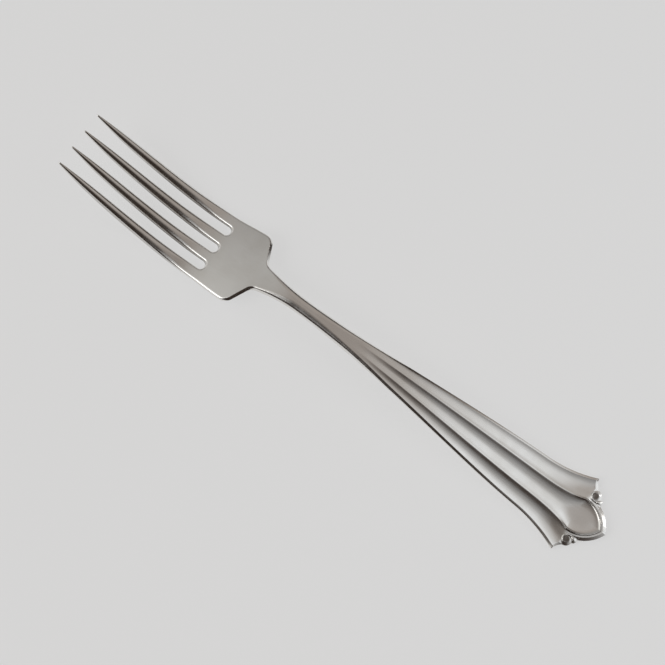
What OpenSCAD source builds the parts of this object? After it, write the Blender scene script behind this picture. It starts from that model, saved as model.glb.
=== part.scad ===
// Dessert fork of solid silver: four tines, a shouldered head, a narrow neck and a fluted handle
// that flares to a pointed end with two scrolls. It lies on its back, +X towards the tine tips.
// Every zone of the fork is its own solid, and neighbours meet face to face.

/* [Tines] */
// Length of the tines, from their tips to the bottoms of the slots
tine_length = 46.6; // [38:0.2:56]
// Distance between neighbouring tines at the slots
tine_pitch = 5.9; // [5.4:0.05:6.5]
// Distance between neighbouring tines at the tips
tip_pitch = 5.55; // [4.8:0.05:6.2]
// Width of a slot at its bottom
slot_width = 2.55; // [2:0.05:3]
// Width of a tine along its middle
tine_width = 2.8; // [2.3:0.05:3.2]
// Width of a tine at its tip
tip_width = 0.5; // [0.3:0.05:1]
// Thickness of a tine at its tip
tip_thickness = 0.6; // [0.4:0.05:1]
// How long a tine keeps its width and thickness before it tapers, as an exponent
tine_taper = 5; // [2:0.1:8]
// Height of the tips above the back of the belly
tip_rise = 9.7; // [5:0.1:14]
// How evenly the tines curve upwards, as an exponent
tine_curve = 1.7; // [1.5:0.05:2.5]
// Distance from the slot bottoms to the belly that the head rests on
belly_offset = 7.2; // [4:0.2:12]

/* [Head] */
// Length of the head, from the slot bottoms to the neck
head_length = 15.2; // [13:0.1:20]
// Width of the head across its shoulders
head_width = 22.1; // [21:0.1:25]
// Thickness of the head
head_thickness = 2.2; // [1.6:0.1:3]
// How far the head's edges lie below its middle
head_crown = 0.3; // [0:0.05:0.5]
// Radius of the shoulders
shoulder_radius = 3.1; // [1.5:0.1:3.6]
// Radius of the fillet between shoulder and neck
fillet_radius = 2.8; // [1.5:0.1:3.6]
// Slope of the shoulder's flank from the fork's axis, in degrees
shoulder_angle = 65; // [55:1:72]
// Radius of the rounded edges of the head
head_edge = 0.6; // [0.3:0.05:1]

/* [Neck] */
// Length of the neck, from the head to the start of the flutes
neck_length = 28.2; // [24:0.1:36]
// Width of the neck where it leaves the head
neck_root_width = 7.1; // [5:0.1:8]
// Width of the neck at its waist
neck_width = 4.4; // [3:0.1:5]
// Distance from the head to the waist
waist_offset = 12; // [10:0.5:20]
// Thickness of the neck at its crest
neck_thickness = 3; // [2.2:0.1:4]
// Height of the neck's underside at its crest
neck_rise = 5.2; // [4:0.1:10]
// Distance from the head to the crest
crest_offset = 10; // [7:0.5:14]
// Radius of the rounded edges of the neck
neck_edge = 1.3; // [0.8:0.05:1.6]

/* [Handle] */
// Length of the straight fluted part of the handle
flute_length = 60.8; // [50:0.2:80]
// Width of the handle where its end begins to flare
flare_width = 16.3; // [12:0.1:18]
// Length of the flare, up to the two corners
flare_length = 14.5; // [10:0.5:20]
// Width of the handle across the two corners
end_width = 23.3; // [21:0.1:26]
// Thickness of the handle along its middle
handle_thickness = 2.3; // [1.9:0.1:3]
// How far the handle's edges lie below its middle at the flare
handle_crown = 0.25; // [0.1:0.05:0.9]
// Share of the handle's width that the middle flute takes
middle_share = 0.36; // [0.3:0.01:0.42]
// Share of the handle's width that the middle flute takes where the flare begins
flare_share = 0.36; // [0.32:0.01:0.44]
// Slope of a flute where it meets a ridge, in degrees
flute_angle = 20.5; // [8:0.5:24]
// Length over which the flutes deepen
flute_fade = 18; // [12:1:40]
// Width of the bevel along the edges of the handle
handle_edge = 0.65; // [0.4:0.05:1]

/* [End] */
// Distance from the two corners to the point of the end
end_length = 9.7; // [9:0.1:12]
// Width of the middle flute where its end begins to round
tongue_width = 9.6; // [8.6:0.1:10]
// Length of the middle flute's rounded end
tongue_length = 7.7; // [7:0.1:8.2]
// Width of the border outside the middle flute's rounded end
border_width = 1.75; // [1.4:0.05:2]
// Width of the bevel along the edges of the end
border_edge = 1.1; // [0.6:0.05:1.3]
// Drop from the rim round the middle flute to the border outside it
rim_step = 0.3; // [0.2:0.05:0.5]
// Diameter of a scroll
scroll_diameter = 2.6; // [2:0.1:2.8]
// Width of metal round a scroll
scroll_wall = 0.55; // [0.4:0.05:0.7]
// Distance between the centres of the two scrolls
scroll_spacing = 14.2; // [13.8:0.1:14.6]
// How far a scroll stands above the metal beside it
scroll_height = 0.3; // [0.2:0.05:0.5]
// How deep a scroll is let into the metal
scroll_seat = 0.5; // [0.3:0.05:0.7]
// Diameter of the bead between a scroll and the border
bead_diameter = 1.9; // [1.6:0.1:2.2]
// Distance between the centres of the two beads
bead_spacing = 12.3; // [11.9:0.1:12.7]
// Height of the very end above the table
end_lift = 0.3; // [0.2:0.1:2]
// Distance from the very end to where the handle's back rests on the table
rest_offset = 12; // [10:0.5:20]

/* [Hidden] */
$fn = 48;

// Height of the upright land left along every edge
edge_land = 0.4;
// Largest share of a thin tip's thickness that the land may take
land_share = 0.4;
// How late the handle bends down behind the neck, as an exponent
arch_delay = 1.4;
// Depth of the flats that the belly and the handle's back rest on
rest_flat = 0.1;
// Length over which the tines' round section turns into the flat head
tine_blend = 16;
// Share of a tine's thickness by which its widest line lies below its middle
tine_drop = 0.25;
// Length over which a tine widens into the head
root_flare = 25;
// Slopes of the handle's outline where the flare begins and at the corners
flare_slope = 0.05;
corner_slope = 0.45;
// Slope of the head's outline beside the slots, and of the neck's where it leaves the shoulder
root_slope = 0.02;
neck_slope = 0.2;
// Slope of the ridges where they run into the rim of the middle flute's end
tongue_slope = 0.34;
// Length before the flare over which the middle flute's share of the width changes
share_length = 16;
// Share of the face's height that the bevel along the handle's edges takes away
bevel_fall = 0.45;
// Lengths before and behind the tongue's shoulders over which the middle flute's floor rises
scoop_before = 4.5;
scoop_after = 5.5;
// How much deeper the middle flute gets along the flare, and how much of that depth its end loses
scoop_growth = 0.3;
scoop_lift = 0.65;
// How much flatter the floor of the middle flute's end is, added to its exponent of two
scoop_power = 4;
// Exponent of the hollow edge between a corner and a scroll
ear_hollow = 1.7;
// Half width of the blunt point of the end
end_blunt = 0.4;
// Half width kept for the middle flute beyond its own point
tongue_blunt = 0.2;
// Share of the border's width over which the rim falls to it
rim_fall = 0.25;
// Distance along the axis from the tongue's shoulders to the scrolls, and from the scrolls to the beads
scroll_offset = 1.6;
bead_offset = 1.85;
// Width of the flat left round a scroll's rolled ring
roll_inset = 0.1;
// Length before the scrolls over which the side flutes turn into the border
side_fade = 2.2;
// Columns of points across a tine, a side flute and the middle flute
tine_columns = 9;
side_columns = 9;
middle_columns = 11;
// Rows of points along a tine and round its slot's end
tine_count = 18;
slot_count = 5;
// Rows along the head's plate, its shoulder arc, its flank and its fillet
plate_count = 7;
shoulder_count = 6;
flank_count = 4;
fillet_count = 5;
// Rows along the neck, the flutes, the flare, an ear, a knob, a bead and the border
neck_count = 14;
flute_count = 22;
flare_count = 11;
ear_count = 5;
knob_count = 4;
bead_count = 3;
border_count = 12;
// Where a knob's outline gives way to the bead, and the bead's to the border, as angles round them
knob_turn = 5;
bead_turn = 15;
// Step for measuring the slope of the outline
slope_step = 0.01;
// Places of the tines and slots across the fork, counted in pitches
tine_places = [-1.5, -0.5, 0.5, 1.5];
slot_places = [-1, 0, 1];
silver = [0.76, 0.75, 0.73];

// Distances from the tine tips along the axis
s_root = tine_length;
s_slot = s_root - slot_width / 2;
s_belly = s_root - belly_offset;
s_neck = s_root + head_length;
s_crest = s_neck + crest_offset;
s_waist = s_neck + waist_offset;
s_flute = s_neck + neck_length;
s_flare = s_flute + flute_length;
s_corner = s_flare + flare_length;
s_end = s_corner + end_length;
s_rest = s_end - rest_offset;

// Half widths
tip_half = tip_width / 2;
shaft_half = tine_width / 2;
root_half = (tine_pitch - slot_width) / 2;
slots_half = tine_places[3] * tine_pitch + root_half;
head_half = head_width / 2;
neck_root_half = neck_root_width / 2;
neck_half = neck_width / 2;
flare_half = flare_width / 2;
end_half = end_width / 2;

// The shoulder is an arc, a straight flank and a fillet, worked out back from the neck
flank_top = head_half - shoulder_radius * (1 - cos(shoulder_angle));
fillet_turn = atan(neck_slope);
s_bend = s_neck + fillet_radius * sin(fillet_turn);
bend_half = neck_root_half + fillet_radius * cos(fillet_turn);
flank_foot = bend_half - fillet_radius * cos(shoulder_angle);
s_fillet = s_bend - fillet_radius * sin(shoulder_angle);
s_flank = s_fillet - (flank_top - flank_foot) / tan(shoulder_angle);
s_shoulder = s_flank - shoulder_radius * sin(shoulder_angle);

// The middle flute's pointed end and the border round it are arcs about one centre on each side
tongue_half = tongue_width / 2;
tongue_radius = (pow(tongue_half, 2) + pow(tongue_length, 2)) / (2 * tongue_half);
arc_offset = tongue_radius - tongue_half;
border_radius = tongue_radius + border_width;
s_tongue = s_end - sqrt(pow(border_radius, 2) - pow(arc_offset, 2));

// The scrolls stand between the ears and the beads
scroll_radius = scroll_diameter / 2;
knob_radius = scroll_radius + scroll_wall;
scroll_y = scroll_spacing / 2;
s_scroll = s_tongue + scroll_offset;
ear_half = scroll_y + knob_radius;
s_knob = s_scroll + knob_radius * cos(knob_turn);

// The beads stand between the scrolls and the border
bead_radius = bead_diameter / 2;
bead_y = bead_spacing / 2;
s_bead = s_scroll + bead_offset;
s_border = s_bead + bead_radius * cos(bead_turn);

function clamp(v, a, b) = max(a, min(b, v));
function ramp(s, a, b) = let (t = clamp((s - a) / (b - a), 0, 1)) t * t * (3 - 2 * t);
function hermite(s, a, b, pa, pb, ma, mb) =
    let (t = (s - a) / (b - a), f = t * t * (3 - 2 * t))
    pa + (pb - pa) * f + (b - a) * t * (1 - t) * (ma * (1 - t) - mb * t);
function steps(a, b, n) = [for (i = [0 : n]) a + (b - a) * i / n];
function spread(n) = [for (i = [0 : n - 1]) (1 - cos(180 * i / (n - 1))) / 2];

// Side view: the back's height and the thickness along the middle
function back(s) =
    s < s_belly ? tip_rise * pow((s_belly - s) / s_belly, tine_curve)
    : s < s_crest ? neck_rise * ramp(s, s_belly, s_crest)
    : s < s_rest ? neck_rise * (1 - ramp(pow((s - s_crest) / (s_rest - s_crest), arch_delay), 0, 1))
    : end_lift * pow((s - s_rest) / (s_end - s_rest), 2);
function base(s) = max(0, back(s) - rest_flat);
function thickness(s) =
    s < s_root ? tip_thickness + (head_thickness - tip_thickness) * (1 - pow(1 - s / s_root, tine_taper))
    : s < s_crest ? head_thickness + (neck_thickness - head_thickness) * ramp(s, s_root, s_crest)
    : neck_thickness + (handle_thickness - neck_thickness) * ramp(s, s_crest, s_flare);

// Plan view: the tines
function pitch(s) = tip_pitch + (tine_pitch - tip_pitch) * min(1, s / s_slot);
function tine_half(s) =
    tip_half + (shaft_half - tip_half) * (1 - pow(1 - min(1, s / s_slot), tine_taper))
    + (root_half - shaft_half) * ramp(s, s_slot - root_flare, s_slot);
function slot_half(s) =
    s < s_slot ? pitch(s) / 2 - tine_half(s) : sqrt(max(0, pow(slot_width / 2, 2) - pow(s - s_slot, 2)));
function slot_distance(s, y) = min([for (k = slot_places)
    s < s_slot ? abs(y - k * pitch(s)) - slot_half(s)
    : norm([s - s_slot, y - k * tine_pitch]) - slot_width / 2]);

// Plan view: the outline's half width from the tips to the corners
function side_half(s) =
    s < s_slot ? tine_places[3] * pitch(s) + tine_half(s)
    : s < s_shoulder ? hermite(s, s_slot, s_shoulder, slots_half, head_half, root_slope, 0)
    : s < s_flank ? head_half - shoulder_radius + sqrt(pow(shoulder_radius, 2) - pow(s - s_shoulder, 2))
    : s < s_fillet ? flank_top - (s - s_flank) * tan(shoulder_angle)
    : s < s_neck ? bend_half - sqrt(pow(fillet_radius, 2) - pow(s_bend - s, 2))
    : s < s_waist ? hermite(s, s_neck, s_waist, neck_root_half, neck_half, -neck_slope, 0)
    : s < s_flare ? hermite(s, s_waist, s_flare, neck_half, flare_half, 0, flare_slope)
    : s < s_corner ? hermite(s, s_flare, s_corner, flare_half, end_half, flare_slope, corner_slope)
    : end_half;

// Plan view: the end, made of two ears, two round knobs, two beads and the border's pointed arch
function arch(s, r) = sqrt(max(0, r * r - pow(max(0, s - s_tongue), 2))) - arc_offset;
function ear(s) =
    end_half - (end_half - ear_half) * pow((s - s_corner) / (s_scroll - s_corner), 1 / ear_hollow);
function knob(s) = scroll_y + sqrt(max(0, pow(knob_radius, 2) - pow(s - s_scroll, 2)));
function bead(s) = bead_y + sqrt(max(0, pow(bead_radius, 2) - pow(s - s_bead, 2)));
function outline(s) =
    s < s_corner ? side_half(s)
    : s < s_scroll ? ear(s)
    : s < s_knob ? knob(s)
    : s < s_border ? bead(s)
    : max(end_blunt, arch(s, border_radius));
function ridge_half(s) =
    s < s_flare
    ? side_half(s) * (middle_share + (flare_share - middle_share) * ramp(s, s_flare - share_length, s_flare))
    : s < s_tongue ? hermite(s, s_flare, s_tongue, flare_share * flare_half, tongue_half,
                             flare_share * flare_slope, tongue_slope)
    : max(tongue_blunt, arch(s, tongue_radius));

// Distance in plan from the nearest free edge
function side_distance(s, a) =
    let (m = (side_half(s + slope_step) - side_half(s - slope_step)) / (2 * slope_step))
    (side_half(s) - a) / sqrt(1 + m * m);
function ear_distance(s, a) =
    let (f = clamp((end_half - a) / (end_half - ear_half), 0, 1),
         m = (s_scroll - s_corner) * ear_hollow / (end_half - ear_half) * pow(f, ear_hollow - 1))
    (s_corner + (s_scroll - s_corner) * pow(f, ear_hollow) - s) / sqrt(1 + m * m);
function end_distance(s, a) = max(
    min(side_distance(s, a), ear_distance(s, a)),
    knob_radius - norm([s - s_scroll, a - scroll_y]),
    bead_radius - norm([s - s_bead, a - bead_y]),
    border_radius - norm([max(0, s - s_tongue), a + arc_offset]));
function edge_distance(s, y) = max(0,
    s < s_shoulder ? min(side_distance(s, abs(y)), slot_distance(s, y))
    : s < s_flare ? side_distance(s, abs(y))
    : end_distance(s, abs(y)));
function edge_radius(s) =
    s < s_root ? tine_half(s) + (head_edge - tine_half(s)) * ramp(s, s_root - tine_blend, s_root)
    : s < s_crest ? head_edge + (neck_edge - head_edge) * ramp(s, s_shoulder, s_neck)
    : neck_edge + (handle_edge - neck_edge) * ramp(s, s_waist, s_flute + flute_fade)
      + (border_edge - handle_edge) * ramp(s, s_corner, s_scroll);

// How far into an edge's zone a point lies, from 0 to 1, and the share of the height left there:
// edges are round, but bevelled on the handle's face
function edge_share(s, y) = 1 - min(1, edge_distance(s, y) / edge_radius(s));
function roll(t) = sqrt(1 - t * t);
function bevel(s, t) = roll(t) + (1 - bevel_fall * t - roll(t)) * fade(s);

// Relief of the face: a slightly crowned head, three hollow flutes on a crowned handle, and the border
function dome(s, a) =
    let (share = ramp(s, s_slot - root_flare, s_slot) * (1 - ramp(s, s_shoulder, s_neck)))
    head_crown * share * pow(a / head_half, 2);
function fade(s) = ramp(s, s_flute, s_flute + flute_fade);
function tongue_share(s, a) =
    s < s_tongue ? a / ridge_half(s)
    : (norm([s - s_tongue, a + arc_offset]) - arc_offset) / tongue_half;
function side_flute(s, a) =
    let (h = (side_half(s) - ridge_half(min(s, s_tongue))) / 2, q = clamp((side_half(s) - a) / h - 1, -1, 1))
    -tan(flute_angle) / 2 * h * (1 - q * q);
function border(s, a) =
    let (r = norm([max(0, s - s_tongue), a + arc_offset]) - tongue_radius)
    -rim_step * ramp(r, 0, rim_fall * border_width);
function scoop(s, q) =
    let (rise = ramp(s, s_tongue - scoop_before, s_tongue + scoop_after),
         half = s < s_flare ? ridge_half(s)
                : flare_share * flare_half * (1 + scoop_growth * ramp(s, s_flare, s_tongue)))
    -tan(flute_angle) / 2 * half * (1 - scoop_lift * rise) * (1 - pow(q, 2 + scoop_power * rise));
function hollow(s, a) =
    let (q = tongue_share(s, a), mix = ramp(s, s_scroll - side_fade, s_scroll))
    q < 1 ? scoop(s, q) : side_flute(s, a) * (1 - mix) + border(s, a) * mix;
function crown(s, a) = handle_crown * ramp(s, s_flute + flute_fade, s_flare) * pow(a / side_half(s), 2);
function relief(s, y) =
    s < s_flute ? -dome(s, abs(y)) : fade(s) * hollow(s, abs(y)) - crown(s, abs(y));

// Heights of the face and of the back at any point
function land(s) = min(edge_land, land_share * thickness(s)) / 2;
function drop(s) = tine_drop * thickness(s) * (1 - ramp(s, s_root - tine_blend, s_root));
function edge_level(s) = base(s) + thickness(s) / 2 - drop(s);
function face_height(s, y) =
    edge_level(s) + land(s)
    + (thickness(s) / 2 + drop(s) - land(s) + relief(s, y)) * bevel(s, edge_share(s, y));
function back_height(s, y) =
    edge_level(s) - land(s) - (thickness(s) / 2 - drop(s) - land(s)) * roll(edge_share(s, y));

// A solid between face and back over rows of points, each row across the fork at one distance
module slab(rows, columns) {
    m = len(rows);
    n = len(columns(rows[0]));
    grid = [for (s = rows) for (y = columns(s)) [s, y]];
    points = concat([for (p = grid) [s_end / 2 - p[0], p[1], face_height(p[0], p[1])]],
                    [for (p = grid) [s_end / 2 - p[0], p[1], back_height(p[0], p[1])]]);
    low = m * n;
    quads = concat(
        [for (i = [0 : m - 2]) for (j = [0 : n - 2]) let (a = i * n + j) [a, a + n, a + n + 1, a + 1]],
        [for (i = [0 : m - 2]) for (j = [0 : n - 2]) let (a = low + i * n + j) [a, a + 1, a + n + 1, a + n]],
        [for (i = [0 : m - 2]) let (a = i * n) [a + n, a, a + low, a + low + n]],
        [for (i = [0 : m - 2]) let (a = i * n + n - 1) [a, a + n, a + low + n, a + low]],
        [for (j = [0 : n - 2]) [j, j + 1, low + j + 1, low + j]],
        [for (j = [0 : n - 2]) let (a = (m - 1) * n + j) [a + 1, a, a + low, a + low + 1]]);
    polyhedron(points, [for (q = quads) each [[q[0], q[1], q[2]], [q[0], q[2], q[3]]]]);
}

// Columns of points across each zone
function tine_row(k, s) =
    let (c = tine_places[k] * pitch(s), inner = pitch(s) / 2 - slot_half(s),
         a = k == 0 ? -side_half(s) : c - inner, b = k == 3 ? side_half(s) : c + inner)
    [for (t = spread(tine_columns)) a + (b - a) * t];
function head_row(s) =
    let (edge = side_half(s_root), ends = [-edge, -tine_pitch, 0, tine_pitch, edge])
    [for (k = [0 : 3]) for (j = [(k == 0 ? 0 : 1) : tine_columns - 1])
        (ends[k] + (ends[k + 1] - ends[k]) * spread(tine_columns)[j]) / edge * side_half(s)];
function left_row(s) = [for (t = spread(side_columns)) ridge_half(s) + (outline(s) - ridge_half(s)) * t];
function middle_row(s) = steps(-ridge_half(s), ridge_half(s), middle_columns - 1);
function full_row(s) =
    let (side = left_row(s), inner = middle_row(s), n = side_columns - 1)
    concat([for (j = [n : -1 : 1]) -side[j]], inner, [for (j = [1 : n]) side[j]]);

// Rows of points along each zone
function after(a, b, n) = [for (i = [1 : n]) a + (b - a) * i / n];
tine_rows = concat(
    steps(0, s_slot, tine_count),
    [for (v = after(0, 90, slot_count)) s_slot + slot_width / 2 * sin(v)]);
head_rows = concat(
    [for (t = steps(0, 1, plate_count)) s_root + (s_shoulder - s_root) * t * t],
    [for (v = after(0, shoulder_angle, shoulder_count)) s_shoulder + shoulder_radius * sin(v)],
    after(s_flank, s_fillet, flank_count),
    [for (v = after(shoulder_angle, fillet_turn, fillet_count)) s_bend - fillet_radius * sin(v)]);
neck_rows = steps(s_neck, s_flute, neck_count);
flute_rows = steps(s_flute, s_flare, flute_count);
end_rows = concat(
    steps(s_flare, s_corner, flare_count),
    after(s_corner, s_scroll, ear_count),
    after(s_scroll, s_knob, knob_count),
    after(s_knob, s_border, bead_count),
    after(s_border, s_end, border_count));

module tine(k) {
    color(silver) slab(tine_rows, function (s) tine_row(k, s));
}

module outer_right_tine() {
    tine(0);
}

module inner_right_tine() {
    tine(1);
}

module inner_left_tine() {
    tine(2);
}

module outer_left_tine() {
    tine(3);
}

module head() {
    color(silver) slab(head_rows, function (s) head_row(s));
}

module neck() {
    color(silver) slab(neck_rows, function (s) full_row(s));
}

module left_flute() {
    color(silver) slab(flute_rows, function (s) left_row(s));
}

module middle_flute() {
    color(silver) slab(flute_rows, function (s) middle_row(s));
}

module right_flute() {
    color(silver) slab(flute_rows, function (s) [for (j = [side_columns - 1 : -1 : 0]) -left_row(s)[j]]);
}

// The floor of a scroll's seat
function seat_height() = face_height(s_scroll, scroll_y) - scroll_seat;

module at_scroll(side) {
    translate([s_end / 2 - s_scroll, side * scroll_y, seat_height()]) children();
}

module handle_end() {
    color(silver) difference() {
        slab(end_rows, function (s) full_row(s));
        for (side = [-1, 1]) at_scroll(side) cylinder(r = scroll_radius, h = 2 * neck_thickness);
    }
}

// A round plug let into the seat, with a rolled ring and a bead on top
module scroll(side) {
    color(silver) at_scroll(side) {
        cylinder(r = scroll_radius, h = scroll_seat);
        translate([0, 0, scroll_seat]) {
            rotate_extrude() translate([scroll_radius - scroll_height - roll_inset, 0])
                circle(r = scroll_height);
            sphere(r = scroll_height);
        }
    }
}

module left_scroll() {
    scroll(1);
}

module right_scroll() {
    scroll(-1);
}

outer_left_tine();
inner_left_tine();
inner_right_tine();
outer_right_tine();
head();
neck();
left_flute();
middle_flute();
right_flute();
handle_end();
left_scroll();
right_scroll();
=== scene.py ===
import math

import bpy
import numpy as np
from mathutils import Matrix, Vector


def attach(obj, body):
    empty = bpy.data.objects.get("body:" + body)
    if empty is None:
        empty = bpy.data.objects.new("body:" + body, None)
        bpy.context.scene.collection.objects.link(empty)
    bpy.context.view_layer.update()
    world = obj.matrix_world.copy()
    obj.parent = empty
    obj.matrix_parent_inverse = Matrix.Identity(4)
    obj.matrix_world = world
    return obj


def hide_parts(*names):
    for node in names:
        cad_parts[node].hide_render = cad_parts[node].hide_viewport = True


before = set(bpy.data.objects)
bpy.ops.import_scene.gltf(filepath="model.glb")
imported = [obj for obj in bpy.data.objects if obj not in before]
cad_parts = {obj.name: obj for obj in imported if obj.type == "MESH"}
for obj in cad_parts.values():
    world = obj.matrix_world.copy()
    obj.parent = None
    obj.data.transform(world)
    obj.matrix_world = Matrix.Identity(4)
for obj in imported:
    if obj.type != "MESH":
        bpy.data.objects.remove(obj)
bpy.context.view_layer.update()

# Sizes are in millimetres, and the scene is in metres
metre = 1000

# Tines, as in the CAD source
tine_length = 46.6
tine_pitch = 5.9
tip_pitch = 5.55
outer_place = 1.5
slot_width = 2.55
tine_width = 2.8
tip_width = 0.5
tip_thickness = 0.6
tine_taper = 5.0
tip_rise = 9.7
tine_curve = 1.7
tine_blend = 16.0
tine_drop = 0.25
root_flare = 25.0
root_slope = 0.02
belly_offset = 7.2

# Head and shoulders, as in the CAD source
head_length = 15.2
head_width = 22.1
head_thickness = 2.2
head_crown = 0.3
head_edge = 0.6
shoulder_radius = 3.1
shoulder_angle = math.radians(65)
fillet_radius = 2.8

# Neck, as in the CAD source
neck_length = 28.2
neck_root_width = 7.1
neck_width = 4.4
neck_thickness = 3.0
neck_rise = 5.2
neck_slope = 0.2
waist_offset = 12.0
crest_offset = 10.0

# Fluted handle, as in the CAD source
flute_length = 60.8
flute_slope = math.tan(math.radians(20.5))
flute_fade = 18.0
middle_share = 0.36
flare_share = 0.36
share_length = 16.0
flare_width = 16.3
flare_length = 14.5
flare_slope = 0.05
corner_slope = 0.45
handle_thickness = 2.3
handle_crown = 0.25
handle_edge = 0.65
bevel_fall = 0.45
arch_delay = 1.4
rest_offset = 12.0
rest_flat = 0.1

# Handle end, as in the CAD source
end_width = 23.3
end_length = 9.7
end_lift = 0.3
tongue_width = 9.6
tongue_length = 7.7
tongue_slope = 0.34
scoop_before = 4.5
scoop_after = 5.5
scoop_growth = 0.3
scoop_lift = 0.65
scoop_power = 4.0
border_width = 1.75
rim_step = 0.3
rim_fall = 0.25
ear_hollow = 1.7
scroll_diameter = 2.6
scroll_wall = 0.55
scroll_spacing = 14.2
scroll_offset = 1.6
bead_diameter = 1.9
bead_spacing = 12.3
bead_offset = 1.85

# Edges and finer forms of the scene's own
neck_edge = 1.9
border_edge = 0.85
flank_edge = 0.75
flank_fall = 0.75
flank_turn = 0.85 * shoulder_angle
edge_land = 0.16
tine_land = 0.4
tine_land_start = (8, 28)
tine_land_end = 6.0
land_share = 0.3
tip_round = 0.45
ridge_round = 0.16
side_fade = 1.2
ear_stretch = 7.8
ear_lift = 0.0035
ear_fade = 2.0
rim_wire = 0.1
wire_half = 0.22
wire_lead = 4.0
knob_blend = 0.25
border_blend = 0.4
crease_share = 0.3

# Hook of each scroll: angles in degrees, then the path's radius and the wire's, which begins in a bead
hook_start = -27
hook_turn = 215
hook_radius = 1.0
hook_opening = 0.35
hook_lead = 0.72
hook_wire = 0.3
hook_bead = 0.22
hook_bead_share = 0.09
hook_thinning = 0.12
hook_thin_from = 0.6
hook_height = 0.06
hook_cap_rate = 14
hook_cap_least = 0.02

# Painted shade on the slot walls and the tines' sides, and darker colour at the rim's foot and the
# scrolls' eyes: strengths, and the stretches over which it comes and goes
foot_strength = 0.6
foot_offset = 0.35
foot_half = 0.2
foot_start = 1.5
eye_offset = 0.1
eye_fade = (0.7, 1.3)
slot_strength = 0.9
slot_fade = (0.02, 0.14)
slot_start = (14, 30)
slot_overrun = 1.0
wall_strength = 0.35
wall_fade = (0.05, 0.4)
wall_start = (2, 10)
wall_end = (36, 44)

# Smallest sizes, and steps of the numeric work
tiny = 1e-12
row_digits = 6
end_blunt = 0.05
least_cap = 0.05
least_ridge = 0.02
tine_edge_margin = 0.02
first_row = 0.01
least_row = 0.005
row_step = 0.03
slope_step = 0.01
outline_margin = 0.5
outline_lead = 1.0
halvings = 40

# Numbers of rows along each zone and of columns across it
round_rows = 17
shaft_rows = 140
plate_rows = 45
shoulder_rows = 70
neck_rows = 70
flute_rows = 150
flare_rows = 50
end_rows = 190
tine_columns = 25
side_columns = 25
edge_columns = 15
middle_columns = 45
hook_rows = 140
hook_columns = 16

# Distances from the tine tips along the axis
s_root = tine_length
s_slot = s_root - slot_width / 2
s_belly = s_root - belly_offset
s_neck = s_root + head_length
s_crest = s_neck + crest_offset
s_waist = s_neck + waist_offset
s_flute = s_neck + neck_length
s_flare = s_flute + flute_length
s_corner = s_flare + flare_length
s_ear = s_corner - ear_stretch
s_outline = s_corner - outline_lead
s_end = s_corner + end_length
s_rest = s_end - rest_offset

# Half widths
tip_half = tip_width / 2
shaft_half = tine_width / 2
root_half = (tine_pitch - slot_width) / 2
slots_half = outer_place * tine_pitch + root_half
head_half = head_width / 2
neck_root_half = neck_root_width / 2
neck_half = neck_width / 2
flare_half = flare_width / 2
end_half = end_width / 2

# Shoulder: an arc, a straight flank and a fillet
flank_top = head_half - shoulder_radius * (1 - math.cos(shoulder_angle))
fillet_turn = math.atan(neck_slope)
s_bend = s_neck + fillet_radius * math.sin(fillet_turn)
bend_half = neck_root_half + fillet_radius * math.cos(fillet_turn)
flank_foot = bend_half - fillet_radius * math.cos(shoulder_angle)
s_fillet = s_bend - fillet_radius * math.sin(shoulder_angle)
s_flank = s_fillet - (flank_top - flank_foot) / math.tan(shoulder_angle)
s_shoulder = s_flank - shoulder_radius * math.sin(shoulder_angle)

# Middle flute's pointed end and the border round it
tongue_half = tongue_width / 2
tongue_radius = (tongue_half ** 2 + tongue_length ** 2) / (2 * tongue_half)
arc_offset = tongue_radius - tongue_half
border_radius = tongue_radius + border_width
s_tongue = s_end - math.sqrt(border_radius ** 2 - arc_offset ** 2)

# Scrolls and beads
knob_radius = scroll_diameter / 2 + scroll_wall
scroll_y = scroll_spacing / 2
s_scroll = s_tongue + scroll_offset
ear_half = scroll_y + knob_radius
bead_radius = bead_diameter / 2
bead_y = bead_spacing / 2
s_bead = s_scroll + bead_offset


# A smooth step from 0 at a to 1 at b
def ramp(s, a, b):
    t = np.clip((s - a) / (b - a), 0, 1)
    return t * t * (3 - 2 * t)


# A smooth curve from value pa and slope ma at a to value pb and slope mb at b
def hermite(s, a, b, pa, pb, ma, mb):
    t = (s - a) / (b - a)
    return pa + (pb - pa) * t * t * (3 - 2 * t) + (b - a) * t * (1 - t) * (ma * (1 - t) - mb * t)


# A square root that is 0 where there is none
def root(v):
    return np.sqrt(np.maximum(0, v))


# Side view: height of the back and thickness along the middle
def rise(s):
    late = np.clip((s - s_crest) / (s_rest - s_crest), 0, 1) ** arch_delay
    high = np.select(
        [s < s_belly, s < s_crest, s < s_rest],
        [tip_rise * np.maximum(0, (s_belly - s) / s_belly) ** tine_curve,
         neck_rise * ramp(s, s_belly, s_crest),
         neck_rise * (1 - ramp(late, 0, 1))],
        end_lift * ((s - s_rest) / (s_end - s_rest)) ** 2)
    return high - rest_flat


def thickness(s):
    taper = 1 - np.maximum(0, 1 - s / s_root) ** tine_taper
    return np.select(
        [s < s_root, s < s_crest],
        [tip_thickness + (head_thickness - tip_thickness) * taper,
         head_thickness + (neck_thickness - head_thickness) * ramp(s, s_root, s_crest)],
        neck_thickness + (handle_thickness - neck_thickness) * ramp(s, s_crest, s_flare))


# Plan view
def pitch(s):
    return tip_pitch + (tine_pitch - tip_pitch) * np.minimum(1, s / s_slot)


def tip_cap(s):
    return root(1 - np.maximum(0, 1 - s / tip_round) ** 2)


def tine_half(s):
    taper = 1 - (1 - np.minimum(1, s / s_slot)) ** tine_taper
    shaft = tip_half + (shaft_half - tip_half) * taper
    return (shaft + (root_half - shaft_half) * ramp(s, s_slot - root_flare, s_slot)) * tip_cap(s)


def slot_half(s):
    bottom = root((slot_width / 2) ** 2 - (s - s_slot) ** 2)
    return np.where(s < s_slot, pitch(s) / 2 - tine_half(s), bottom)


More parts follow.
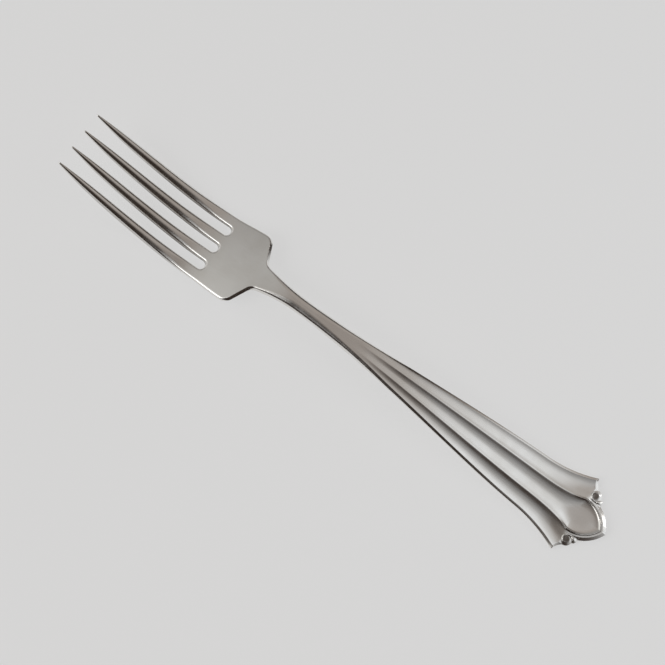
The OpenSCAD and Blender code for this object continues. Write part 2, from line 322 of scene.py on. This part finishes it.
def slot_distance(s, y):
    slot = np.clip(np.round(y / pitch(s)), -1, 1)
    off = np.abs(y - slot * pitch(s))
    return np.where(s < s_slot, off - slot_half(s), np.hypot(s - s_slot, off) - slot_width / 2)


def side_half(s):
    s = np.asarray(s, float)
    ends = [s_slot, s_shoulder, s_flank, s_fillet, s_neck, s_waist, s_flare, s_corner]
    return np.select(
        [s < end for end in ends],
        [outer_place * pitch(s) + tine_half(s),
         hermite(s, s_slot, s_shoulder, slots_half, head_half, root_slope, 0),
         head_half - shoulder_radius + root(shoulder_radius ** 2 - (s - s_shoulder) ** 2),
         flank_top - (s - s_flank) * math.tan(shoulder_angle),
         bend_half - root(fillet_radius ** 2 - (s_bend - s) ** 2),
         hermite(s, s_neck, s_waist, neck_root_half, neck_half, -neck_slope, 0),
         hermite(s, s_waist, s_flare, neck_half, flare_half, 0, flare_slope),
         hermite(s, s_flare, s_corner, flare_half, end_half, flare_slope, corner_slope)],
        end_half)


def side_slope(s):
    return (side_half(s + slope_step) - side_half(s - slope_step)) / (2 * slope_step)


# Pointed end: distance from the centre of its arc, and half width of an arc of that centre
def arc_reach(s, a):
    return np.hypot(np.maximum(0, s - s_tongue), a + arc_offset)


def arch(s, radius):
    return root(radius ** 2 - np.maximum(0, s - s_tongue) ** 2) - arc_offset


# Direction seen from the centre of the fillet between shoulder and neck
def fillet_direction(s, a):
    return np.arctan2(s_bend - s, bend_half - a)


# Distances from the outline, which are above 0 inside it
def shoulder_distance(s, a):
    out = a - head_half + shoulder_radius
    corner = shoulder_radius - np.hypot(s - s_shoulder, out)
    flank = (flank_top - a) * math.cos(shoulder_angle) - (s - s_flank) * math.sin(shoulder_angle)
    fillet = np.hypot(s_bend - s, bend_half - a) - fillet_radius
    on_corner = np.arctan2(s - s_shoulder, out) < shoulder_angle
    return np.select([on_corner, fillet_direction(s, a) > shoulder_angle], [corner, flank], fillet)


def side_distance(s, a):
    side = (side_half(s) - a) / np.sqrt(1 + side_slope(s) ** 2)
    near = (s > s_shoulder) & (s < s_bend) & (fillet_direction(s, a) > fillet_turn)
    return np.where(near, shoulder_distance(s, a), side)


def ear_distance(s, a):
    f = np.clip((end_half - a) / (end_half - ear_half), 0, 1)
    slope = (s_scroll - s_corner) * ear_hollow / (end_half - ear_half) * f ** (ear_hollow - 1)
    return (s_corner + (s_scroll - s_corner) * f ** ear_hollow - s) / np.sqrt(1 + slope ** 2)


# The larger of two distances, with a soft change from one to the other
def join(a, b, soft):
    h = np.maximum(0, soft - np.abs(a - b)) / soft
    return np.maximum(a, b) + h * h * soft / 4


def end_distance(s, a):
    ear = np.minimum(side_distance(s, a), ear_distance(s, a))
    knob = knob_radius - np.hypot(s - s_scroll, a - scroll_y)
    bead = bead_radius - np.hypot(s - s_bead, a - bead_y)
    border = border_radius - arc_reach(s, a)
    return join(join(join(ear, knob, knob_blend), bead, border_blend), border, border_blend)


def edge_distance(s, y):
    a = np.abs(y)
    side = side_distance(s, a)
    d = np.where(s < s_shoulder, np.minimum(side, slot_distance(s, y)), side)
    return np.maximum(0, np.where(s < s_flare, d, end_distance(s, a)))


# Half width of the whole outline, found by halving where the ear, knob, bead and border run together
def outline(s):
    s = np.asarray(s, float)
    low = np.zeros_like(s)
    high = np.full_like(s, end_half + outline_margin)
    for _ in range(halvings):
        mid = (low + high) / 2
        inside = end_distance(s, mid) > 0
        low = np.where(inside, mid, low)
        high = np.where(inside, high, mid)
    return np.where(s < s_outline, side_half(s), np.maximum(low, end_blunt))


# Width of the rounded or bevelled edge
def edge_radius(s):
    tine = tine_half(s) + tine_edge_margin
    flank = head_edge + (flank_edge - head_edge) * ramp(s, s_shoulder, s_flank)
    handle = neck_edge + (handle_edge - neck_edge) * ramp(s, s_waist, s_flute + flute_fade)
    return np.select(
        [s < s_root, s < s_crest],
        [tine + (head_edge - tine) * ramp(s, s_root - tine_blend, s_root),
         flank + (neck_edge - flank_edge) * ramp(s, s_fillet, s_crest)],
        handle + (border_edge - handle_edge) * ramp(s, s_corner, s_scroll))


# Share of the height near an edge, on face and back: round, with bevels on the face of flanks and handle
def roll(s, y):
    t = 1 - np.minimum(1, edge_distance(s, y) / edge_radius(s))
    curve = root(1 - t * t)
    turn = np.where(s < s_bend, fillet_direction(s, np.abs(y)), 0)
    flank = ramp(s, s_shoulder, s_flank) * ramp(turn, fillet_turn, flank_turn)
    handle = ramp(s, s_flute, s_flute + flute_fade)
    fall = np.where(s < s_waist, flank_fall, bevel_fall)
    return curve + (1 - fall * t - curve) * np.maximum(flank, handle), curve


# Relief of the face: the crown of the head, and the handle's flutes, pointed end, border and rim wire
def ridge_half(s):
    share = middle_share + (flare_share - middle_share) * ramp(s, s_flare - share_length, s_flare)
    start = flare_share * flare_half
    return np.select(
        [s < s_flare, s < s_tongue],
        [share * side_half(s),
         hermite(s, s_flare, s_tongue, start, tongue_half, flare_share * flare_slope, tongue_slope)],
        np.maximum(least_ridge, arch(s, tongue_radius)))


def soft_gap(d):
    return np.sqrt(d * d + ridge_round ** 2) - ridge_round


def middle_hollow(s, reach, span):
    gap = soft_gap(np.maximum(0, span - reach))
    lifted = ramp(s, s_tongue - scoop_before, s_tongue + scoop_after)
    grown = flare_share * flare_half * (1 + scoop_growth * ramp(s, s_flare, s_tongue))
    depth = np.where(s < s_flare, span, grown) * (1 - scoop_lift * lifted)
    power = 2 + scoop_power * lifted
    return -flute_slope / 2 * depth * (1 - np.maximum(0, 1 - gap / span) ** power)


def side_hollow(s, a, ridge):
    half = (side_half(s) - ridge) / 2
    gap = soft_gap(np.clip(a - ridge, 0, 2 * half))
    lift = ear_lift * np.maximum(0, s - s_ear) ** 2 * ramp(a - ridge, 0, ear_fade)
    return -flute_slope / 2 * half * (2 * gap / half - (gap / half) ** 2) + lift


def hollow(s, a):
    ridge = ridge_half(np.minimum(s, s_tongue))
    reach = np.where(s < s_tongue, a, arc_reach(s, a) - arc_offset)
    span = np.where(s < s_tongue, ridge, tongue_half)
    out = reach - span
    border = -rim_step * ramp(out, 0, rim_fall * border_width)
    mix = ramp(s, s_scroll - side_fade, s_scroll)
    outer = side_hollow(s, a, ridge) * (1 - mix) + border * mix
    wire = rim_wire * np.exp(-(out / wire_half) ** 2) * ramp(s, s_tongue - wire_lead, s_tongue)
    return np.where(reach < span, middle_hollow(s, reach, span), outer) + wire


def relief(s, y):
    a = np.abs(y)
    fade = ramp(s, s_flute, s_flute + flute_fade)
    crown = handle_crown * ramp(s, s_flute + flute_fade, s_flare) * (a / side_half(s)) ** 2
    spread_out = ramp(s, s_slot - root_flare, s_slot) * (1 - ramp(s, s_shoulder, s_neck))
    dome = head_crown * spread_out * (a / head_half) ** 2
    return np.where(s < s_flute, -dome, fade * hollow(s, a) - crown)


# Heights of face and back, with an upright land between their edges
def heights(s, y):
    thick = thickness(s) * np.where(s < tip_round, np.maximum(least_cap, tip_cap(s)), 1)
    middle = rise(s) + thickness(s) / 2
    upright = ramp(s, *tine_land_start) * (1 - ramp(s, s_root - tine_land_end, s_root))
    land = np.minimum(edge_land + (tine_land - edge_land) * upright, land_share * thick) / 2
    drop = tine_drop * thick * (1 - ramp(s, s_root - tine_blend, s_root))
    upper, lower = roll(s, y)
    face = middle - drop + land + (thick / 2 + drop - land + relief(s, y)) * upper
    back = middle - drop - land - (thick / 2 - drop - land) * lower
    return face, np.maximum(0, back)


# Painted shade on the slot walls and the tines' sides, and darker colour at the foot of the rim and in
# the eyes of the scrolls
def painted_shade_and_dark_hollows(s, y):
    a = np.abs(y)
    out = arc_reach(s, a) - tongue_radius
    # Darker at the foot of the rim and in the eyes of the scrolls
    foot = np.exp(-((out - foot_offset) / foot_half) ** 2) * ramp(s, s_tongue, s_tongue + foot_start)
    eye = 1 - ramp(np.hypot(s - s_scroll - eye_offset, a - scroll_y), *eye_fade)
    # Painted shade on the slots' walls near the roots, standing in for their shadowed reflections
    slot = 1 - ramp(slot_distance(s, y), *slot_fade)
    slot = slot * ramp(s, *slot_start) * (s < s_root + slot_overrun)
    # Painted shade along the tines' sides
    wall = 1 - ramp(edge_distance(s, y), *wall_fade)
    wall = wall * ramp(s, *wall_start) * (1 - ramp(s, *wall_end))
    return np.clip(foot_strength * foot + eye + slot_strength * slot + wall_strength * wall, 0, 1)


# Columns of points across each zone
def spread(n):
    return (1 - np.cos(np.linspace(0, math.pi, n))) / 2


def tine_row(k, s):
    c = (k - outer_place) * pitch(s)
    reach = pitch(s) / 2 - slot_half(s)
    a = -side_half(s) if k == 0 else c - reach
    b = side_half(s) if k == 3 else c + reach
    return a + (b - a) * spread(tine_columns)


def head_row(s):
    edge = side_half(s_root)
    ends = [-edge, -tine_pitch, 0, tine_pitch, edge]
    parts = [a + (b - a) * spread(tine_columns) for a, b in zip(ends, ends[1:])]
    return np.concatenate(parts[:1] + [part[1:] for part in parts[1:]]) / edge * side_half(s)


def left_row(s, w):
    g = ridge_half(s)
    crease = w - edge_radius(s) * math.sqrt(1 + side_slope(s) ** 2)
    crease = max(g + crease_share * (w - g), crease)
    face = g + (crease - g) * spread(side_columns)
    edge = crease + (w - crease) * spread(edge_columns)
    return np.concatenate([face, edge[1:]])


def middle_row(s):
    return ridge_half(s) * (2 * spread(middle_columns) - 1)


def full_row(s, w):
    side = left_row(s, w)
    return np.concatenate([-side[:0:-1], middle_row(s), side[1:]])


# A new object from points in millimetres
def add_mesh(name, points, faces, smooth=True):
    mesh = bpy.data.meshes.new(name)
    mesh.from_pydata((np.asarray(points, float) / metre).tolist(), [], faces)
    mesh.update()
    mesh.polygons.foreach_set("use_smooth", np.full(len(faces), smooth))
    obj = bpy.data.objects.new(name, mesh)
    bpy.context.scene.collection.objects.link(obj)
    return obj


# Faces over a face and a back of m rows and n columns each, then the walls between them
def slab_faces(m, n):
    i, j = np.meshgrid(np.arange(m - 1), np.arange(n - 1), indexing="ij")
    a = (i * n + j).ravel()
    back = m * n
    right = np.arange(m - 1) * n
    left = right + n - 1
    first = np.arange(n - 1)
    last = first + (m - 1) * n

    def wall(p, q):
        return np.stack([p, q, q + back, p + back], 1)

    upper = np.stack([a, a + 1, a + n + 1, a + n], 1)
    lower = np.stack([a, a + n, a + n + 1, a + 1], 1) + back
    walls = [wall(right, right + n), wall(left + n, left), wall(first + 1, first), wall(last, last + 1)]
    return np.concatenate([upper, lower]), np.concatenate(walls)


# Normals of a grid's inner rows, from the rows on either side
def grid_normals(points, sign):
    along = points[2:] - points[:-2]
    across = np.gradient(points, axis=1)[1:-1]
    n = np.cross(across, along) * sign
    return n / np.maximum(tiny, np.linalg.norm(n, axis=-1, keepdims=True))


# A closed mesh between face and back over rows of points, with normals that run on past its ends
def slab(name, rows, columns):
    longer = np.concatenate([[max(least_row, rows[0] - row_step)], rows, [rows[-1] + row_step]])
    ys = np.array([columns(s) for s in longer])
    ss = np.repeat(longer[:, None], ys.shape[1], 1)
    face, back = [np.stack([s_end / 2 - ss, ys, z], -1) for z in heights(ss, ys)]
    points = np.concatenate([face[1:-1], back[1:-1]]).reshape(-1, 3)
    normals = np.concatenate([grid_normals(face, 1), grid_normals(back, -1)]).reshape(-1, 3)
    surfaces, walls = slab_faces(len(rows), ys.shape[1])
    faces = np.concatenate([surfaces, walls])
    obj = add_mesh(name, points, faces.tolist())
    face_normals = np.zeros(3 * len(faces), np.float32)
    obj.data.polygons.foreach_get("normal", face_normals)
    wall_normals = face_normals.reshape(-1, 3)[len(surfaces):]
    corner_normals = np.concatenate([normals[surfaces.ravel()], np.repeat(wall_normals, 4, 0)])
    obj.data.normals_split_custom_set(corner_normals.tolist())
    # Painted shade and darker hollows, kept on each point for the material
    dark = painted_shade_and_dark_hollows(ss[1:-1], ys[1:-1]).ravel()
    layer = obj.data.attributes.new("painted_shade_and_dark_hollows", "FLOAT", "POINT")
    layer.data.foreach_set("value", np.concatenate([dark, 0 * dark]))
    return obj


# A closed round wire along a path, with a radius at each of its points
def wire_mesh(name, path, radius):
    along = np.gradient(path, axis=0)
    along /= np.linalg.norm(along, axis=1, keepdims=True)
    across = np.cross(along, [0.0, 0.0, 1.0])
    across /= np.linalg.norm(across, axis=1, keepdims=True)
    up = np.cross(across, along)
    turn = np.linspace(0, 2 * math.pi, hook_columns, endpoint=False)[:, None]
    ring = across[:, None] * np.cos(turn) + up[:, None] * np.sin(turn)
    points = path[:, None] + radius[:, None, None] * ring
    first = list(range(hook_columns))
    last = [len(path) * hook_columns - 1 - j for j in range(hook_columns)]
    faces = []
    for start in range(0, (len(path) - 1) * hook_columns, hook_columns):
        for j in range(hook_columns):
            here = start + j
            beside = start + (j + 1) % hook_columns
            faces.append([here + hook_columns, beside + hook_columns, beside, here])
    return add_mesh(name, points.reshape(-1, 3), faces + [first, last])


# A scroll: a bead beside the border runs into a hook that curls inwards over the knob
def scroll(name, side):
    t = np.linspace(0, 1, hook_rows)
    angle = np.radians(hook_start - hook_turn * t)
    radius = hook_radius + hook_opening * (1 - t) ** 2 + hook_lead * (1 - t) ** 6
    path_s = s_scroll + radius * np.cos(angle)
    path_y = scroll_y + radius * np.sin(angle)
    face, _ = heights(path_s, path_y)
    path = np.stack([s_end / 2 - path_s, side * path_y, face + hook_height], -1)
    bead = hook_bead * np.exp(-(t / hook_bead_share) ** 2)
    thick = hook_wire + bead - hook_thinning * ramp(t, hook_thin_from, 1)
    cap = root(1 - np.maximum(0, 1 - np.minimum(t, 1 - t) * hook_cap_rate) ** 2)
    return wire_mesh(name, path, thick * (cap * (1 - hook_cap_least) + hook_cap_least))


# Rows of points along each zone
def rows_of(*parts):
    return np.unique(np.round(np.concatenate(parts), row_digits))


quarter = np.linspace(0, math.pi / 2, round_rows)
along_tine = rows_of(first_row + tip_round * (1 - np.cos(quarter)),
                     np.linspace(tip_round, s_slot, shaft_rows),
                     s_slot + slot_width / 2 * np.sin(quarter))
along_head = rows_of(s_root + (s_shoulder - s_root) * np.linspace(0, 1, plate_rows) ** 2,
                     np.linspace(s_shoulder, s_neck, shoulder_rows))
along_neck = np.linspace(s_neck, s_flute, neck_rows)
along_flute = np.linspace(s_flute, s_flare, flute_rows)
along_end = rows_of(np.linspace(s_flare, s_outline, flare_rows), np.linspace(s_outline, s_end, end_rows))

# Pieces of the fork, each in the place of its CAD node
tine_names = ["outer_right_tine", "inner_right_tine", "inner_left_tine", "outer_left_tine"]
zones = {name: (along_tine, lambda s, k=k: tine_row(k, s)) for k, name in enumerate(tine_names)}
zones["head"] = (along_head, head_row)
zones["neck"] = (along_neck, lambda s: full_row(s, side_half(s)))
zones["left_flute"] = (along_flute, lambda s: left_row(s, side_half(s)))
zones["middle_flute"] = (along_flute, middle_row)
zones["right_flute"] = (along_flute, lambda s: -left_row(s, side_half(s))[::-1])
zones["handle_end"] = (along_end, lambda s: full_row(s, outline(np.array([s]))[0]))
pieces = {name: slab("silver_" + name, rows, columns) for name, (rows, columns) in zones.items()}
pieces["left_scroll"] = scroll("silver_left_scroll", 1)
pieces["right_scroll"] = scroll("silver_right_scroll", -1)


# Shader nodes: numbers and colours are set on the sockets, and outputs of other nodes are linked to them
def connect(tree, node, sockets):
    for socket, value in sockets.items():
        if isinstance(value, bpy.types.NodeSocket):
            tree.links.new(value, node.inputs[socket])
        else:
            node.inputs[socket].default_value = value


def add_node(tree, kind, sockets, **settings):
    node = tree.nodes.new(kind)
    for setting, value in settings.items():
        setattr(node, setting, value)
    connect(tree, node, sockets)
    return node


def map_range(tree, value, given, wanted, kind="LINEAR"):
    sockets = {"Value": value, "From Min": given[0], "From Max": given[1],
               "To Min": wanted[0], "To Max": wanted[1]}
    return add_node(tree, "ShaderNodeMapRange", sockets, interpolation_type=kind).outputs["Result"]


def mix_colour(tree, a, b, factor):
    sockets = {"A": a, "B": b, "Factor": factor}
    return add_node(tree, "ShaderNodeMix", sockets, data_type="RGBA").outputs["Result"]


def calculate(tree, operation, a, b):
    return add_node(tree, "ShaderNodeMath", {0: a, 1: b}, operation=operation).outputs["Value"]


# Silver: polished metal with soft wear and fine scratches along the fork, its colour darkened by painted
# shade on slot walls and tines' sides and at the rim's foot and scroll eyes
def silver_material():
    bright = (0.90, 0.89, 0.87, 1)
    dull = (0.82, 0.80, 0.765, 1)
    darkening_colour = (0.11, 0.09, 0.075, 1)
    material = bpy.data.materials.new("polished_silver")
    material.use_nodes = True
    tree = material.node_tree
    coords = add_node(tree, "ShaderNodeTexCoord", {}).outputs["Object"]

    def noise(scale, detail, stretch=(1, 1, 1)):
        place = add_node(tree, "ShaderNodeMapping", {"Vector": coords, "Scale": stretch})
        sockets = {"Vector": place.outputs["Vector"], "Scale": scale, "Detail": detail}
        return add_node(tree, "ShaderNodeTexNoise", sockets).outputs["Fac"]

    wear = map_range(tree, noise(scale=140, detail=4), (0.35, 0.75), (0, 1))
    # Painted shade and darker hollows from the pieces' points, broken up by patches, darken the colour
    darkened_share = add_node(tree, "ShaderNodeAttribute", {}, attribute_name="painted_shade_and_dark_hollows").outputs["Fac"]
    patches = map_range(tree, noise(scale=700, detail=3), (0.3, 0.7), (0.85, 1.0))
    darkening = calculate(tree, "MULTIPLY", darkened_share, patches)
    scratches = noise(scale=900, detail=3, stretch=(0.12, 1.4, 1.4))
    bump = add_node(tree, "ShaderNodeBump", {"Height": scratches, "Strength": 0.06, "Distance": 0.0001})
    connect(tree, tree.nodes["Principled BSDF"], {
        "Metallic": 1.0,
        "Base Color": mix_colour(tree, mix_colour(tree, bright, dull, wear), darkening_colour, darkening),
        "Roughness": map_range(tree, noise(scale=260, detail=5), (0.3, 0.8), (0.14, 0.24)),
        "Normal": bump.outputs["Normal"]})
    return material


silver = silver_material()
for node, piece in pieces.items():
    piece.data.materials.append(silver)
    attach(piece, "root")
    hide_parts(node)


# Floor: a pale tone of its own, seen by the camera and in the metal alike, with the fork's soft shadow
def floor_material():
    matt = (0.80, 0.80, 0.80, 1)
    own_tone = (0.88, 0.88, 0.88, 1)
    own_share = 0.6
    material = bpy.data.materials.new("pale_floor")
    material.use_nodes = True
    tree = material.node_tree
    shader = tree.nodes["Principled BSDF"]
    connect(tree, shader, {"Base Color": matt, "Roughness": 0.9, "Specular IOR Level": 0.0})
    tone = add_node(tree, "ShaderNodeEmission", {"Color": own_tone})
    rays = add_node(tree, "ShaderNodeLightPath", {}).outputs
    seen = calculate(tree, "MAXIMUM", rays["Is Camera Ray"], rays["Is Glossy Ray"])
    seen = calculate(tree, "MAXIMUM", seen, rays["Is Transmission Ray"])
    blend = add_node(tree, "ShaderNodeMixShader", {
        "Fac": map_range(tree, seen, (0, 1), (0, own_share)),
        1: shader.outputs["BSDF"],
        2: tone.outputs["Emission"]})
    connect(tree, tree.nodes["Material Output"], {"Surface": blend.outputs["Shader"]})
    return material


floor_half = 3 * metre
floor_corners = [(-floor_half, -floor_half, 0), (floor_half, -floor_half, 0),
                 (floor_half, floor_half, 0), (-floor_half, floor_half, 0)]
floor = add_mesh("floor", floor_corners, [(0, 1, 2, 3)], smooth=False)
floor.data.materials.append(floor_material())


# Room light: over the handle it is dark, with brown on the far side, and beyond the tines it is paler
def room_light():
    brown = (0.345, 0.31, 0.285, 1)
    dark = (0.030, 0.022, 0.018, 1)
    dim = (0.30, 0.29, 0.28, 1)
    pale = (0.58, 0.57, 0.55, 1)
    world = bpy.data.worlds.new("studio")
    world.use_nodes = True
    tree = world.node_tree
    direction = add_node(tree, "ShaderNodeTexCoord", {}).outputs["Generated"]
    part = add_node(tree, "ShaderNodeSeparateXYZ", {"Vector": direction}).outputs

    def change(a, b, axis, start, end):
        return mix_colour(tree, a, b, map_range(tree, part[axis], (start, end), (0, 1), "SMOOTHSTEP"))

    over_handle = change(dark, change(brown, dark, "Y", -0.45, 0.5), "Z", 0.2, 0.62)
    beyond_tines = change(dim, pale, "Y", -0.55, 0.1)
    colour = change(over_handle, beyond_tines, "X", 0.1, 0.5)
    connect(tree, tree.nodes["Background"], {"Color": colour, "Strength": 1.0})
    return world


bpy.context.scene.world = room_light()


# A flat lamp, in metres, whose power follows from its brightness and its size
def panel(name, place, facing, wide, deep, brightness, tint=(1, 1, 1), cone=math.pi):
    light = bpy.data.lights.new(name, "AREA")
    light.shape = "RECTANGLE"
    light.size = wide
    light.size_y = deep
    light.energy = brightness * math.pi * wide * deep
    light.color = tint
    light.spread = cone
    obj = bpy.data.objects.new(name, light)
    obj.location = place
    obj.rotation_mode = "QUATERNION"
    obj.rotation_quaternion = Vector(facing).to_track_quat("-Z", "Y")
    obj.visible_camera = False
    bpy.context.scene.collection.objects.link(obj)


downwards = (0, 0, -1)
panel("key", place=(1.0, 1.4, 1.15), facing=(-1.0, -1.4, -1.15), wide=1.15, deep=1.15, brightness=1.5)
panel("window", place=(0.33, 0.375, 0.5), facing=downwards, wide=0.54, deep=0.65, brightness=0.33)
panel("end_light", place=(-0.40, -0.41, 0.31), facing=(0.315, 0.41, -0.31), wide=0.18, deep=0.18,
      brightness=0.02, cone=math.radians(12))

# Overlapping sheets of light over the handle: corner towards tines and camera, then brightness
sheet_corners = [(-0.04, -0.03, 0.08), (-0.092, 0.085, 0.105), (-0.098, 0.04, 0.07),
                 (-0.12, -0.02, 0.045), (-0.13, -0.055, 0.08), (-0.137, -0.1, 0.14)]
sheet_wide = 0.45
sheet_deep = 0.38
sheet_height = 0.3
sheet_gap = 0.002
sheet_tint = (0.90, 1.0, 1.08)
for step, (corner_x, corner_y, brightness) in enumerate(sheet_corners):
    place = (corner_x - sheet_wide / 2, corner_y - sheet_deep / 2, sheet_height + sheet_gap * step)
    panel("handle_light_%d" % step, place, downwards, sheet_wide, sheet_deep, brightness, sheet_tint)

# Camera: fitted to the photograph, looking almost straight down
azimuth = math.radians(96.77)
elevation = math.radians(75.45)
camera_roll = math.radians(29.74)
distance = 0.5617
target = Vector((0.00289, -0.00021, 0.003))
focal_pixels = 2104.4
photo_pixels = 665
sensor_width = 36
away = Vector((math.cos(elevation) * math.cos(azimuth), math.cos(elevation) * math.sin(azimuth),
               math.sin(elevation)))
level_right = Vector((0, 0, 1)).cross(away).normalized()
level_up = away.cross(level_right)
right = level_right * math.cos(camera_roll) + level_up * math.sin(camera_roll)
up = level_up * math.cos(camera_roll) - level_right * math.sin(camera_roll)
camera_data = bpy.data.cameras.new("camera")
camera_data.sensor_fit = "HORIZONTAL"
camera_data.sensor_width = sensor_width
camera_data.lens = sensor_width * focal_pixels / photo_pixels
camera_data.clip_start = 0.01
camera = bpy.data.objects.new("camera", camera_data)
axes = [(right[i], up[i], away[i], target[i] + away[i] * distance) for i in range(3)]
camera.matrix_world = Matrix(axes + [(0, 0, 0, 1)])
bpy.context.scene.collection.objects.link(camera)
bpy.context.scene.camera = camera
bpy.context.scene.view_settings.view_transform = "Standard"

bpy.context.view_layer.update()
